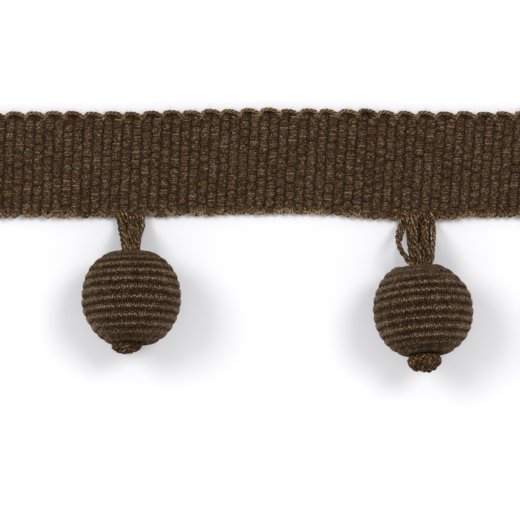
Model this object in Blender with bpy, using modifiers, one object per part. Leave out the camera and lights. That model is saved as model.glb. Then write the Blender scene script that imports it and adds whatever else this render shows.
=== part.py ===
"""Beaded fringe trim: a cut length of ribbed heading tape with two yarn-wound ball drops.

The trim lies face up on Z = 0, with the tape's length along X and the drops towards -Y.
Each drop is a bunch of plied yarns that leaves the tape's lower edge, climbs to the hole at
the top of its ball, runs through the ball and ends in a knot. Sizes are in metres.
"""

import math

import bmesh
import bpy
from mathutils import Matrix, Vector
from mathutils.geometry import interpolate_bezier

MM = 0.001
OBJECT_NAME = "beaded_fringe_trim"
GAP = 0.3 * MM                      # clearance between pieces

# Heading tape
DROP_PITCH = 50.8 * MM              # from one drop to the next
TAPE_LENGTH = 2 * DROP_PITCH
TAPE_HEIGHT = 1.8 * MM              # at the crest of a rib
TAPE_UPPER_EDGE = 8.60 * MM         # centre line to the ribs' upper ends
TAPE_LOWER_EDGE = 8.95 * MM         # centre line to the ribs' lower ends
HUMP_RISE = 0.55 * MM               # the tape rises a little between the drops
HUMP_X = -2.0 * MM
HUMP_REACH = 25.0 * MM
PULL_DEPTH = 0.40 * MM              # the longer drop pulls the lower edge down
PULL_X = 24.0 * MM
PULL_REACH = 14.0 * MM
RIB_COUNT = 60
RIB_RELIEF = 0.35 * MM              # depth of the groove between two ribs
RIBS_PER_LOOP = 2
UPPER_LOOP = 0.75 * MM              # how far the weft loops stand out of each edge
UPPER_UNEVENNESS = 0.12             # share by which one loop differs from another
LOWER_LOOP = 0.30 * MM
LOWER_UNEVENNESS = 0.30
LEAN_LEFT = math.radians(2.0)       # the ribs lean to the right, more so at the right end
LEAN_RIGHT = math.radians(5.0)

# Stations across one rib: share of the rib's width, share of the relief
RIB_STATIONS = (
    (0.00, 0.0),
    (0.22, 1.0),
    (0.78, 1.0),
)
# Rows across the tape: place (-1 lower edge, +1 upper edge), share of the height
TAPE_ROWS = (
    (-1.00, 0.50),
    (-0.97, 0.86),
    (-0.90, 1.00),
    (0.00, 1.00),
    (0.88, 1.00),
    (0.95, 0.86),
    (1.00, 0.50),
)

# Balls: wound ridges, and the bore with a funnel at each end that the stem goes through
RIDGE_COUNT = 12
RIDGE_SPAN = math.radians(136.0)    # latitude that the ridges cover, pole to pole
RIDGE_DEPTH = 0.40 * MM             # at the equator, shallower towards the poles
BALL_FULLNESS = 0.92                # under 1 is fuller than an ellipsoid
FUNNEL_DEPTH = 0.80 * MM            # from the last ridge in to the bore's rim
BORE_RADIUS = 1.75 * MM
BALL_STEPS = 24
FLAT_DEPTH = 0.15 * MM              # flattening where a ball touches the surface
# Stations across one ridge: share of the ridge's width, share of its depth
RIDGE_STATIONS = (
    (0.00, 0.0),
    (0.30, 1.0),
    (0.70, 1.0),
)

# Stems
STEM_SIDES = 14
STEM_BORE_RADIUS = BORE_RADIUS - GAP
STEM_EXIT_HEIGHT = 0.95 * MM        # where the yarns leave the tape's edge
STEM_FREE_STEPS = 12
# Sections down the free stem: share of its length, then half width and half thickness
STEM_SECTIONS = {
    "left": (
        (0.00, 2.65 * MM, 0.70 * MM),
        (0.20, 2.40 * MM, 0.85 * MM),
        (0.45, 2.00 * MM, 1.05 * MM),
        (0.72, 1.75 * MM, 1.25 * MM),
        (1.00, STEM_BORE_RADIUS, STEM_BORE_RADIUS),
    ),
    "right": (
        (0.00, 1.95 * MM, 0.70 * MM),
        (0.20, 1.95 * MM, 0.85 * MM),
        (0.45, 1.90 * MM, 1.05 * MM),
        (0.72, 1.70 * MM, 1.25 * MM),
        (1.00, STEM_BORE_RADIUS, STEM_BORE_RADIUS),
    ),
}

# Drops, a row each
DROPS = (
    {
        "side": "left",
        "x": -DROP_PITCH / 2,
        "ball_y": -23.1 * MM,
        "ball_radius": 8.70 * MM,
        "ball_half_height": 8.62 * MM,
        "nod": math.radians(6.0),           # how far the hole dips towards the surface
        "turn": math.radians(1.0),
        "stem_exit_x": -25.4 * MM,
        "knot_cage": (8.6 * MM, 7.4 * MM, 3.3 * MM),
        "knot_taper": 0.55,
        "knot_slip": -1.0 * MM,             # of the knot's lower end to one side
        "knot_offset": 0.0,                 # of the whole knot from the ball's axis
        "knot_drop": 8.85 * MM,             # from the ball's centre to the knot's
    },
    {
        "side": "right",
        "x": DROP_PITCH / 2,
        "ball_y": -25.3 * MM,
        "ball_radius": 8.70 * MM,
        "ball_half_height": 8.30 * MM,
        "nod": math.radians(4.0),
        "turn": math.radians(3.8),
        "stem_exit_x": 24.45 * MM,
        "knot_cage": (8.2 * MM, 7.4 * MM, 4.3 * MM),
        "knot_taper": 0.72,
        "knot_slip": 0.15 * MM,
        "knot_offset": -0.35 * MM,
        "knot_drop": 8.90 * MM,
    },
)

# Loose yarns of the right drop: distance to the right of the ball's centre, Y and height
LOOSE_STRAND_RADIUS = 0.48 * MM
LOOSE_STRAND_ROUTE = (
    (-3.60 * MM, -10.10 * MM, 1.15 * MM),
    (-4.05 * MM, -11.30 * MM, 2.50 * MM),
    (-4.30 * MM, -12.60 * MM, 4.10 * MM),
    (-4.15 * MM, -13.90 * MM, 5.60 * MM),
    (-3.65 * MM, -15.10 * MM, 6.90 * MM),
    (-2.95 * MM, -16.05 * MM, 7.70 * MM),
)
SIDE_STRAND_RADIUS = 0.40 * MM
SIDE_STRAND_ROUTE = (
    (1.80 * MM, -10.10 * MM, 1.15 * MM),
    (1.95 * MM, -11.40 * MM, 2.50 * MM),
    (1.90 * MM, -13.00 * MM, 4.40 * MM),
    (1.75 * MM, -14.80 * MM, 6.30 * MM),
    (1.65 * MM, -16.40 * MM, 7.80 * MM),
)

YARN_BROWN = (0.058, 0.034, 0.019, 1.0)
STEM_BROWN = (0.105, 0.063, 0.031, 1.0)


def clear_scene():
    """Remove every object of the open file."""
    for old in list(bpy.data.objects):
        bpy.data.objects.remove(old, do_unlink=True)


def new_collection(name):
    """Return a new collection linked to the scene."""
    collection = bpy.data.collections.new(name)
    bpy.context.scene.collection.children.link(collection)
    return collection


def yarn_material(name, colour):
    """Return a matt yarn material."""
    material = bpy.data.materials.new(name)
    material.use_nodes = True
    shader = material.node_tree.nodes["Principled BSDF"]
    shader.inputs["Base Color"].default_value = colour
    shader.inputs["Roughness"].default_value = 0.9
    shader.inputs["Metallic"].default_value = 0.0
    return material


def add_object(name, data, collection, material=None):
    """Link an object that holds the data, with its material."""
    piece = bpy.data.objects.new(name, data)
    collection.objects.link(piece)
    if material is not None:
        data.materials.append(material)
    return piece


def mesh_from(bm, name):
    """Turn a bmesh into a smooth-shaded mesh with outward normals."""
    bmesh.ops.recalc_face_normals(bm, faces=bm.faces)
    mesh = bpy.data.meshes.new(name)
    bm.to_mesh(mesh)
    bm.free()
    mesh.shade_smooth()
    mesh.set_sharp_from_angle(angle=math.radians(50.0))
    return mesh


def soft_bump(offset, reach):
    """1 at the middle of a smooth bump, 0 at its reach and beyond."""
    if abs(offset) >= reach:
        return 0.0
    return 0.5 + 0.5 * math.cos(math.pi * offset / reach)


def centre_line(x):
    """Y of the tape's centre line."""
    return HUMP_RISE * soft_bump(x - HUMP_X, HUMP_REACH)


def lower_edge(x):
    """Distance from the centre line to the ribs' lower ends."""
    return TAPE_LOWER_EDGE + PULL_DEPTH * soft_bump(x - PULL_X, PULL_REACH)


def rib_lean(x):
    """Angle by which the ribs lean to the right."""
    share = x / TAPE_LENGTH + 0.5
    return LEAN_LEFT + share * (LEAN_RIGHT - LEAN_LEFT)


def loop_reach(station, reach, unevenness):
    """How far the weft loop at this station stands out of the edge."""
    stations_per_loop = RIBS_PER_LOOP * len(RIB_STATIONS)
    loop, step = divmod(station, stations_per_loop)
    rib, place = divmod(step, len(RIB_STATIONS))
    across = 2.0 * (rib + RIB_STATIONS[place][0]) / RIBS_PER_LOOP - 1.0
    size = 1.0 + unevenness * math.sin(2.4 * loop)
    return reach * size * math.sqrt(1.0 - across * across)


def tape_point(station, row):
    """Place one point of the tape's face."""
    rib, place = divmod(station, len(RIB_STATIONS))
    rib_share, crest = RIB_STATIONS[place]
    x = ((rib + rib_share) / RIB_COUNT - 0.5) * TAPE_LENGTH
    across, height_share = TAPE_ROWS[row]
    y = across * (TAPE_UPPER_EDGE if across > 0.0 else lower_edge(x))
    if row == len(TAPE_ROWS) - 1:
        y += loop_reach(station, UPPER_LOOP, UPPER_UNEVENNESS)
    elif row == 0:
        y -= loop_reach(station, LOWER_LOOP, LOWER_UNEVENNESS)
    z = height_share * TAPE_HEIGHT - (1.0 - crest) * RIB_RELIEF
    return Vector((x + y * math.tan(rib_lean(x)), y + centre_line(x), z))


def build_tape(collection, material):
    """Ribbed face from a grid, drawn down to a flat back."""
    columns = RIB_COUNT * len(RIB_STATIONS)
    rows = len(TAPE_ROWS) - 1
    bm = bmesh.new()
    bmesh.ops.create_grid(bm, x_segments=columns, y_segments=rows, size=1.0)
    for vertex in bm.verts:
        station = round((vertex.co.x + 1.0) / 2.0 * columns)
        row = round((vertex.co.y + 1.0) / 2.0 * rows)
        vertex.co = tape_point(station, row)
    drawn = bmesh.ops.extrude_face_region(bm, geom=list(bm.faces))["geom"]
    back = [item for item in drawn if isinstance(item, bmesh.types.BMFace)]
    for vertex in (item for item in drawn if isinstance(item, bmesh.types.BMVert)):
        vertex.co.z = 0.0
    bmesh.ops.dissolve_faces(bm, faces=back, use_verts=True)
    return add_object("heading_tape", mesh_from(bm, "heading_tape"), collection, material)


def ball_point(radius, half_height, latitude, crest):
    """Radius and height of a point on the ball's side: crest 1 on a ridge, 0 between two."""
    sink = (1.0 - crest) * RIDGE_DEPTH * math.cos(latitude)
    level = math.copysign(abs(math.sin(latitude)) ** BALL_FULLNESS, latitude)
    return (radius - sink) * math.cos(latitude) ** BALL_FULLNESS, (half_height - sink) * level


def ball_profile(radius, half_height):
    """Radius and height of the ridged outer side, top to bottom, then of the bore."""
    profile = []
    for station in range(RIDGE_COUNT * len(RIDGE_STATIONS) + 1):
        ridge, place = divmod(station, len(RIDGE_STATIONS))
        ridge_share, crest = RIDGE_STATIONS[place]
        latitude = RIDGE_SPAN * (0.5 - (ridge + ridge_share) / RIDGE_COUNT)
        profile.append(ball_point(radius, half_height, latitude, crest))
    profile.append((BORE_RADIUS, -rim_height(half_height)))
    profile.append((BORE_RADIUS, rim_height(half_height)))
    return profile


def rim_height(half_height):
    """Distance from the ball's centre to the bore's rim."""
    return ball_point(0.0, half_height, RIDGE_SPAN / 2, 0.0)[1] - FUNNEL_DEPTH


def build_ball(drop, anchor, collection, material, floor_cutter):
    """Turn the ridged ball and flatten it where it touches the surface."""
    bm = bmesh.new()
    ring = [bm.verts.new((radius, 0.0, height)) for radius, height
            in ball_profile(drop["ball_radius"], drop["ball_half_height"])]
    for index, vertex in enumerate(ring):
        bm.edges.new((vertex, ring[(index + 1) % len(ring)]))
    name = drop["side"] + "_ball"
    mesh = bpy.data.meshes.new(name)
    bm.to_mesh(mesh)
    bm.free()
    ball = add_object(name, mesh, collection, material)
    ball.parent = anchor
    turning = ball.modifiers.new("Turn", "SCREW")
    turning.steps = BALL_STEPS
    turning.render_steps = BALL_STEPS
    turning.use_merge_vertices = True
    turning.merge_threshold = 0.00001
    turning.use_smooth_shade = True
    flattening = ball.modifiers.new("Flat spot", "BOOLEAN")
    flattening.operation = "DIFFERENCE"
    flattening.object = floor_cutter
    return ball


def build_knot(drop, anchor, collection, material):
    """Soft lump that tapers and slips to one side, set under the ball."""
    width, depth, height = drop["knot_cage"]
    bm = bmesh.new()
    bmesh.ops.create_cube(bm, size=1.0)
    for vertex in bm.verts:
        lower = vertex.co.z < 0.0
        taper = drop["knot_taper"] if lower else 1.0
        slip = drop["knot_slip"] if lower else 0.0
        vertex.co = Vector((vertex.co.x * width * taper + slip,
                            vertex.co.y * depth * taper,
                            vertex.co.z * height))
    name = drop["side"] + "_knot"
    knot = add_object(name, mesh_from(bm, name), collection, material)
    knot.parent = anchor
    knot.location = (drop["knot_offset"], 0.0, -drop["knot_drop"])
    softening = knot.modifiers.new("Soften", "SUBSURF")
    softening.levels = 2
    softening.render_levels = 2
    return knot


def drop_anchor(drop, collection):
    """Empty at the ball's centre, its Z axis along the ball's axis towards the tape."""
    anchor = bpy.data.objects.new(drop["side"] + "_drop", None)
    collection.objects.link(anchor)
    anchor.location = (drop["x"], drop["ball_y"], drop["ball_radius"] - FLAT_DEPTH)
    anchor.rotation_euler = (-math.pi / 2 - drop["nod"], 0.0, drop["turn"])
    return anchor


def stem_path(drop, axis_matrix):
    """Centres of the stem's rings, from the tape's edge to the knot."""
    rim = rim_height(drop["ball_half_height"])
    axis = (axis_matrix.to_3x3() @ Vector((0.0, 0.0, 1.0))).normalized()
    hole = axis_matrix @ Vector((0.0, 0.0, rim))
    exit_x = drop["stem_exit_x"]
    longest_loop = LOWER_LOOP * (1.0 + LOWER_UNEVENNESS)
    edge_y = centre_line(exit_x) - lower_edge(exit_x) - longest_loop - GAP
    start = Vector((exit_x, edge_y, STEM_EXIT_HEIGHT))
    reach = (hole - start).length
    free = interpolate_bezier(start, start - Vector((0.0, 0.30 * reach, 0.0)),
                              hole + axis * 0.42 * reach, hole, STEM_FREE_STEPS + 1)
    end = axis_matrix @ Vector((0.0, 0.0, -rim))
    return list(free) + [end]


def stem_section(sections, share):
    """Half width and half thickness at a share of the free stem's length."""
    for upper, lower in zip(sections, sections[1:]):
        if share <= lower[0]:
            blend = (share - upper[0]) / (lower[0] - upper[0])
            return (upper[1] + blend * (lower[1] - upper[1]),
                    upper[2] + blend * (lower[2] - upper[2]))
    return sections[-1][1:]


def build_stem(drop, anchor_matrix, collection, material):
    """Loft the bunch of yarns: wide and flat at the tape, round in the ball."""
    path = stem_path(drop, anchor_matrix)
    sections = STEM_SECTIONS[drop["side"]]
    bm = bmesh.new()
    rings = []
    for index, centre in enumerate(path):
        before = path[max(index - 1, 0)]
        after = path[min(index + 1, len(path) - 1)]
        along = (after - before).normalized()
        across = Vector((1.0, 0.0, 0.0))
        across = (across - along * across.dot(along)).normalized()
        outward = across.cross(along)
        half_width, half_thickness = stem_section(sections, min(index / STEM_FREE_STEPS, 1.0))
        ring = []
        for side in range(STEM_SIDES):
            angle = 2.0 * math.pi * side / STEM_SIDES
            offset = (across * half_width * math.cos(angle)
                      + outward * half_thickness * math.sin(angle))
            ring.append(bm.verts.new(centre + offset))
        rings.append(ring)
    for near, far in zip(rings, rings[1:]):
        for side in range(STEM_SIDES):
            following = (side + 1) % STEM_SIDES
            bm.faces.new((near[side], near[following], far[following], far[side]))
    bm.faces.new(rings[0])
    bm.faces.new(rings[-1])
    name = drop["side"] + "_stem"
    return add_object(name, mesh_from(bm, name), collection, material)


def smooth_route(points, steps):
    """Points of a smooth curve through the given ones."""
    route = []
    for index in range(len(points) - 1):
        here, there = points[index], points[index + 1]
        before = points[max(index - 1, 0)]
        after = points[min(index + 2, len(points) - 1)]
        route += interpolate_bezier(here, here + (there - before) / 6.0,
                                    there - (after - here) / 6.0, there, steps + 1)[:-1]
    return route + [points[-1]]


def build_strand(name, origin_x, points, radius, collection, material):
    """One yarn that parts from the bunch, as a round tube."""
    route = smooth_route([Vector((origin_x + x, y, z)) for x, y, z in points], 3)
    curve = bpy.data.curves.new(name, "CURVE")
    curve.dimensions = "3D"
    curve.bevel_depth = radius
    curve.bevel_resolution = 2
    curve.use_fill_caps = True
    spline = curve.splines.new("POLY")
    spline.points.add(len(route) - 1)
    for spline_point, place in zip(spline.points, route):
        spline_point.co = (*place, 1.0)
    return add_object(name, curve, collection, material)


def build_floor_cutter(collection):
    """Block under the surface, which flattens the balls."""
    depth = 4.0 * MM
    bm = bmesh.new()
    bmesh.ops.create_cube(bm, size=1.0)
    cutter = add_object("floor_cutter", mesh_from(bm, "floor_cutter"), collection)
    cutter.matrix_world = (Matrix.Translation((0.0, DROPS[0]["ball_y"], -depth / 2))
                           @ Matrix.Diagonal((TAPE_LENGTH, DROP_PITCH, depth, 1.0)))
    cutter.hide_render = True
    cutter.display_type = "WIRE"
    return cutter


def build_trim():
    """Build every piece of the trim."""
    clear_scene()
    pieces = new_collection(OBJECT_NAME)
    cutters = new_collection("cutters")
    cutter = build_floor_cutter(cutters)
    build_tape(pieces, yarn_material("tape_yarn", YARN_BROWN))
    for drop in DROPS:
        side = drop["side"]
        anchor = drop_anchor(drop, pieces)
        bpy.context.view_layer.update()
        build_stem(drop, anchor.matrix_world, pieces, yarn_material(side + "_stem_yarn", STEM_BROWN))
        build_ball(drop, anchor, pieces, yarn_material(side + "_ball_yarn", YARN_BROWN), cutter)
        build_knot(drop, anchor, pieces, yarn_material(side + "_knot_yarn", STEM_BROWN))
    right_x = DROPS[1]["x"]
    build_strand("right_loose_strand", right_x, LOOSE_STRAND_ROUTE, LOOSE_STRAND_RADIUS,
                 pieces, yarn_material("loose_strand_yarn", STEM_BROWN))
    build_strand("right_side_strand", right_x, SIDE_STRAND_ROUTE, SIDE_STRAND_RADIUS,
                 pieces, yarn_material("side_strand_yarn", STEM_BROWN))
    bpy.context.view_layer.update()


build_trim()
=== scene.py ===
import math

import bpy
import numpy as np
from mathutils import Matrix, Vector
from mathutils.geometry import interpolate_bezier


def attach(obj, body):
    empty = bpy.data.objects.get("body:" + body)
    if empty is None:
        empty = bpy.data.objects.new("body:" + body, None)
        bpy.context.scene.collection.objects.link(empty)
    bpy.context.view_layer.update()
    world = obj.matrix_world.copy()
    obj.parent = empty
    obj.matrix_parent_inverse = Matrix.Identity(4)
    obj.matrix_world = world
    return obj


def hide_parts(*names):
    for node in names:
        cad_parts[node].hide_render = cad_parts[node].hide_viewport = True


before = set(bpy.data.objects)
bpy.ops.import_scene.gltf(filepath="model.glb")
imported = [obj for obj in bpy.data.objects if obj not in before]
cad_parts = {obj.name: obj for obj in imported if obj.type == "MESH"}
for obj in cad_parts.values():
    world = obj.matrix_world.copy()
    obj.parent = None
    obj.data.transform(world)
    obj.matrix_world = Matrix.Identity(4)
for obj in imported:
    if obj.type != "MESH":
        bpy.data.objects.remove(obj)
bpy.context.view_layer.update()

# Looks of the beaded fringe trim. Lengths here are in millimetres and become metres when a
# piece is made. The trim lies face up on Z = 0, the tape's length along X, the drops at -Y.
#
# A shape is its points, its faces and its lay. The lay of a point is how far along its yarn
# it is, where across or round it, and its tone; the materials read it as an attribute.

MM = 0.001
TAU = 2.0 * math.pi

# ---- sizes, as in the CAD model
DROP_PITCH = 50.8  # from one drop to the next
TAPE_LENGTH = 2 * DROP_PITCH
TAPE_HEIGHT = 1.8
TAPE_UPPER_EDGE = 8.60  # centre line to the ribs' upper ends
TAPE_LOWER_EDGE = 8.95  # centre line to the ribs' lower ends
HUMP_RISE = 0.55  # the tape rises a little between the drops
HUMP_X = -2.0
HUMP_REACH = 25.0
PULL_DEPTH = 0.40  # the longer drop pulls the lower edge down
PULL_X = 24.0
PULL_REACH = 14.0
RIB_COUNT = 60
RIB_PITCH = TAPE_LENGTH / RIB_COUNT
RIBS_PER_LOOP = 2
LEAN_LEFT = math.radians(2.0)  # the ribs lean to the right, more so at the right end
LEAN_RIGHT = math.radians(5.0)

RIDGE_COUNT = 12
RIDGE_SPAN = math.radians(136.0)  # latitude that the ridges cover, pole to pole
BALL_RADIUS = 8.70
BALL_FULLNESS = 0.92  # under 1 is fuller than an ellipsoid
FLAT_DEPTH = 0.15  # flattening where a ball touches the surface
FUNNEL_DEPTH = 0.80  # from the last ridge in to the bore's rim
BORE_RADIUS = 1.75
CAD_RIDGE_DEPTH = 0.40
RIM_SINK = CAD_RIDGE_DEPTH * math.cos(RIDGE_SPAN / 2)

STEM_BORE_RADIUS = BORE_RADIUS - 0.3
# Sections down the free stem: share of its length, then half width and half thickness
STEM_SECTIONS = {
    "left": ((0.00, 2.65, 0.70), (0.20, 2.40, 0.85), (0.45, 2.00, 1.05), (0.72, 1.75, 1.25),
             (1.00, STEM_BORE_RADIUS, STEM_BORE_RADIUS)),
    "right": ((0.00, 1.95, 0.70), (0.20, 1.95, 0.85), (0.45, 1.90, 1.05), (0.72, 1.70, 1.25),
              (1.00, STEM_BORE_RADIUS, STEM_BORE_RADIUS)),
}
# The right drop's strands: distance to the right of the ball's centre, Y and height
LOOSE_STRAND_ROUTE = (
    (-3.60, -10.10, 1.15), (-4.05, -11.30, 2.50), (-4.30, -12.60, 4.10),
    (-4.15, -13.90, 5.60), (-3.65, -15.10, 6.90), (-2.95, -16.05, 7.70),
)
SIDE_STRAND_ROUTE = (
    (1.80, -10.10, 1.15), (1.95, -11.40, 2.50), (1.90, -13.00, 4.40),
    (1.75, -14.80, 6.30), (1.65, -16.40, 7.80),
)

# ---- the two drops
# x, ball_y, half_height and stem_exit_x are as in the CAD model. The ball's nod, turn and
# swing sideways are a few degrees and 0.2 mm off it, closer to the photograph.
DROPS = (
    {
        "side": "left", "x": -DROP_PITCH / 2, "ball_y": -23.1, "half_height": 8.62,
        "stem_exit_x": -25.4, "nod": math.radians(8.0), "turn": math.radians(0.3),
        "swing": 0.18,
        "winding": {
            "seed": 31, "slide": (0.60, 8.8, 5.5), "shift": 0.33, "smooth_top": 62.0,
            "merges": (),
            "bulges": ((180, 10, 35, -0.12), (-165, -45, 40, -1.0), (0, -30, 30, -0.15)),
        },
        "bunch": {"front_strands": 7, "back_strands": 6, "reach": (0.26, 0.20), "seed": 41},
        "knot": {"centre": (-0.45, -0.3, -8.45), "half": (2.75, 2.3, 1.45), "taper": 0.40,
                 "slip": -0.6, "seed": 51},
        "hair_seed": 71,
    },
    {
        "side": "right", "x": DROP_PITCH / 2, "ball_y": -25.3, "half_height": 8.30,
        "stem_exit_x": 24.45, "nod": math.radians(9.0), "turn": math.radians(4.2),
        "swing": -0.20,
        "winding": {
            "seed": 32, "slide": (-0.45, 3.4, 5.0), "shift": -0.20, "smooth_top": 50.0,
            "merges": ((3.0, -50.0, 30.0),),
            "bulges": ((5, 52, 42, -0.74), (180, 60, 38, 0.42), (180, -25, 35, -0.10)),
        },
        "bunch": {"front_strands": 6, "back_strands": 6, "reach": (0.38, 0.68), "seed": 42},
        "knot": {"centre": (-0.42, 0.0, -9.05), "half": (3.0, 2.5, 2.1), "taper": 0.30,
                 "slip": 0.0, "seed": 52},
        "hair_seed": 72,
    },
)


# ---- meshes
PLY_SWELL = 1.10  # plies are pressed together, so thicker than ones that touch
PLY_GROOVE_PAINTED_SHADE = 0.10  # painted shade: a ply's tone where it meets the others
PLY_TONE_GAIN = 1.05  # by which that painted shade lifts up to the ply's crest
YARN_STEP = 0.17  # from one point to the next along stems, strands and knots
LOOP_STEP = 0.20  # along the loops of the tape's edges
TWIST_STARTS = 6.0  # a yarn's twist starts at any angle from 0 to this


def soft_bump(offset, reach):
    """1 at the middle of a smooth bump, 0 at its reach and beyond."""
    share = np.clip(np.abs(offset) / reach, 0.0, 1.0)
    return 0.5 + 0.5 * np.cos(np.pi * share)


def unit(vectors):
    """Vectors scaled to length 1."""
    return vectors / np.maximum(np.linalg.norm(vectors, axis=-1, keepdims=True), 1e-9)


def make_piece(name, shapes, material, replaces=()):
    """Object of joined shapes, on the root body; replaces names the CAD nodes it stands for."""
    points, faces, lay = join_shapes(shapes)
    mesh = bpy.data.meshes.new(name)
    mesh.from_pydata((points * MM).tolist(), [], faces)
    attribute = mesh.attributes.new("lay", "FLOAT_VECTOR", "POINT")
    attribute.data.foreach_set("vector", np.ascontiguousarray(lay, dtype=np.float32).ravel())
    mesh.materials.append(material)
    mesh.shade_smooth()
    piece = bpy.data.objects.new(name, mesh)
    bpy.context.scene.collection.objects.link(piece)
    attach(piece, "root")
    if replaces:
        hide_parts(*replaces)
    return piece


def join_shapes(shapes):
    """One shape from several."""
    points, faces, lays, base = [], [], [], 0
    for shape_points, shape_faces, shape_lay in shapes:
        points.append(shape_points)
        faces += [tuple(base + corner for corner in face) for face in shape_faces]
        lays.append(shape_lay)
        base += len(shape_points)
    return np.concatenate(points), faces, np.concatenate(lays)


def ring_faces(rings, sides, closed_rings=False):
    """Quads between rings of points, and caps on the end rings unless the rings close."""
    faces = []
    last = rings if closed_rings else rings - 1
    for ring in range(last):
        near, far = ring * sides, ((ring + 1) % rings) * sides
        for side in range(sides):
            after = (side + 1) % sides
            faces.append((near + side, near + after, far + after, far + side))
    if not closed_rings:
        faces.append(tuple(reversed(range(sides))))
        faces.append(tuple(range((rings - 1) * sides, rings * sides)))
    return faces


def path_frames(paths):
    """Along, across and outward directions of paths shaped (paths, points, 3)."""
    along = unit(np.gradient(paths, axis=1))
    across = np.empty_like(along)
    helper = np.where(np.abs(along[:, 0, 2:]) > 0.8, [[1.0, 0.0, 0.0]], [[0.0, 0.0, 1.0]])
    across[:, 0] = unit(np.cross(along[:, 0], helper))
    for index in range(1, paths.shape[1]):
        carried = across[:, index - 1]
        lean = np.sum(carried * along[:, index], axis=-1, keepdims=True)
        across[:, index] = unit(carried - lean * along[:, index])
    return along, across, np.cross(along, across)


def tube_rings(paths, radii, sides):
    """Ring points, shaped (paths, points, sides, 3), of round tubes along the paths."""
    _, across, outward = path_frames(paths)
    angles = TAU * np.arange(sides) / sides
    ring = (across[:, :, None, :] * np.cos(angles)[None, None, :, None]
            + outward[:, :, None, :] * np.sin(angles)[None, None, :, None])
    return paths[:, :, None, :] + ring * radii[:, :, None, None]


def tube_shape(paths, rings, tones):
    """Shape of tubes, from their centre lines, rings and tones."""
    count, length, sides, _ = rings.shape
    steps = np.linalg.norm(np.diff(paths, axis=1), axis=-1)
    travelled = np.concatenate([np.zeros((count, 1)), np.cumsum(steps, axis=1)], axis=1)
    lay = np.empty(rings.shape)
    lay[..., 0] = travelled[:, :, None]
    lay[..., 1] = (np.arange(sides) / sides)[None, None, :]
    lay[..., 2] = tones
    faces = []
    template = ring_faces(length, sides)
    for tube in range(count):
        base = tube * length * sides
        faces += [tuple(base + corner for corner in face) for face in template]
    return rings.reshape(-1, 3), faces, lay.reshape(-1, 3)


def distances(path):
    """Distance travelled along a path at each of its points."""
    steps = np.linalg.norm(np.diff(path, axis=0), axis=-1)
    return np.concatenate([[0.0], np.cumsum(steps)])


def yarn_shape(path, radius, plies, pitch, tone, sides=6, start=0.0, uneven=0.0):
    """A plied yarn along a path, with painted shade in the grooves between its plies.

    radius and tone are one value, or one for each point. The plies make a turn every pitch,
    from the angle start. uneven is how much the last ply is lighter than the middle one.
    """
    _, across, outward = path_frames(path[None])
    travelled = distances(path)
    radius = np.broadcast_to(radius, len(path))
    share = 1.0 / (1.0 + 1.0 / math.sin(math.pi / plies))
    reach = radius * (1.0 - share)
    centres = []
    for ply in range(plies):
        angle = start + TAU * (ply / plies - travelled / pitch)
        offset = across[0] * np.cos(angle)[:, None] + outward[0] * np.sin(angle)[:, None]
        centres.append(path + offset * reach[:, None])
    centres = np.array(centres)
    radii = np.broadcast_to(radius * share * PLY_SWELL, (plies, len(path)))
    rings = tube_rings(centres, radii, sides)
    depth = np.linalg.norm(rings - path[None, :, None], axis=-1)
    depth = depth / (reach + radii[0])[None, :, None]
    ply_tones = np.outer(1.0 + uneven * np.linspace(-1.0, 1.0, plies), tone + 0.0 * travelled)
    crest = np.clip(depth, 0.0, 1.0) ** 2.5
    tones = ply_tones[:, :, None] * (PLY_GROOVE_PAINTED_SHADE + PLY_TONE_GAIN * crest)
    return tube_shape(centres, rings, tones)


def smooth_route(points, spacing):
    """Evenly spaced points of a smooth curve through the given ones."""
    points = [Vector(point) for point in points]
    dense = []
    for index in range(len(points) - 1):
        here, there = points[index], points[index + 1]
        before = points[max(index - 1, 0)]
        after = points[min(index + 2, len(points) - 1)]
        dense += interpolate_bezier(here, here + (there - before) / 6.0,
                                    there - (after - here) / 6.0, there, 24)[:-1]
    return resample(np.array([*dense, points[-1]]), spacing)


def resample(route, spacing):
    """The same route with points about the spacing apart."""
    travelled = distances(route)
    wanted = np.linspace(0.0, travelled[-1], max(int(travelled[-1] / spacing), 3) + 1)
    return np.stack([np.interp(wanted, travelled, route[:, axis]) for axis in range(3)], axis=1)


# ---- materials
# Shades in linear light, from the grooves to the crests
TAPE_SHADES = ((0.0102, 0.0044, 0.0013), (0.039, 0.0182, 0.0072), (0.081, 0.0455, 0.0226),
               (0.156, 0.1000, 0.0605), (0.308, 0.2210, 0.156))
BALL_SHADES = ((0.0105, 0.0052, 0.0024), (0.0370, 0.0192, 0.0092), (0.085, 0.0485, 0.0262),
               (0.183, 0.115, 0.066), (0.370, 0.268, 0.185))
STEM_SHADES = ((0.0090, 0.0038, 0.0014), (0.0345, 0.0155, 0.0058), (0.084, 0.0420, 0.0178),
               (0.205, 0.120, 0.056), (0.480, 0.320, 0.175))
FLOOR_SHADE = (0.897, 0.892, 0.918, 1.0)
SHEEN_TINT = (0.80, 0.58, 0.36, 1.0)

# Patterns of the fibres, in patches 1 / scale metres wide
GRAIN_SCALE = 6500.0
CLOUD_SCALE = 330.0
FLECK_SCALE = 7500.0
HUE_SCALE = 2600.0
DEPTH_SCALE = 1900.0
FLECK_START, FLECK_FULL = 0.82, 0.92  # of a random value per cell: the top ones are flecks
BUMP_HEIGHT = 0.07 * MM

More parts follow.
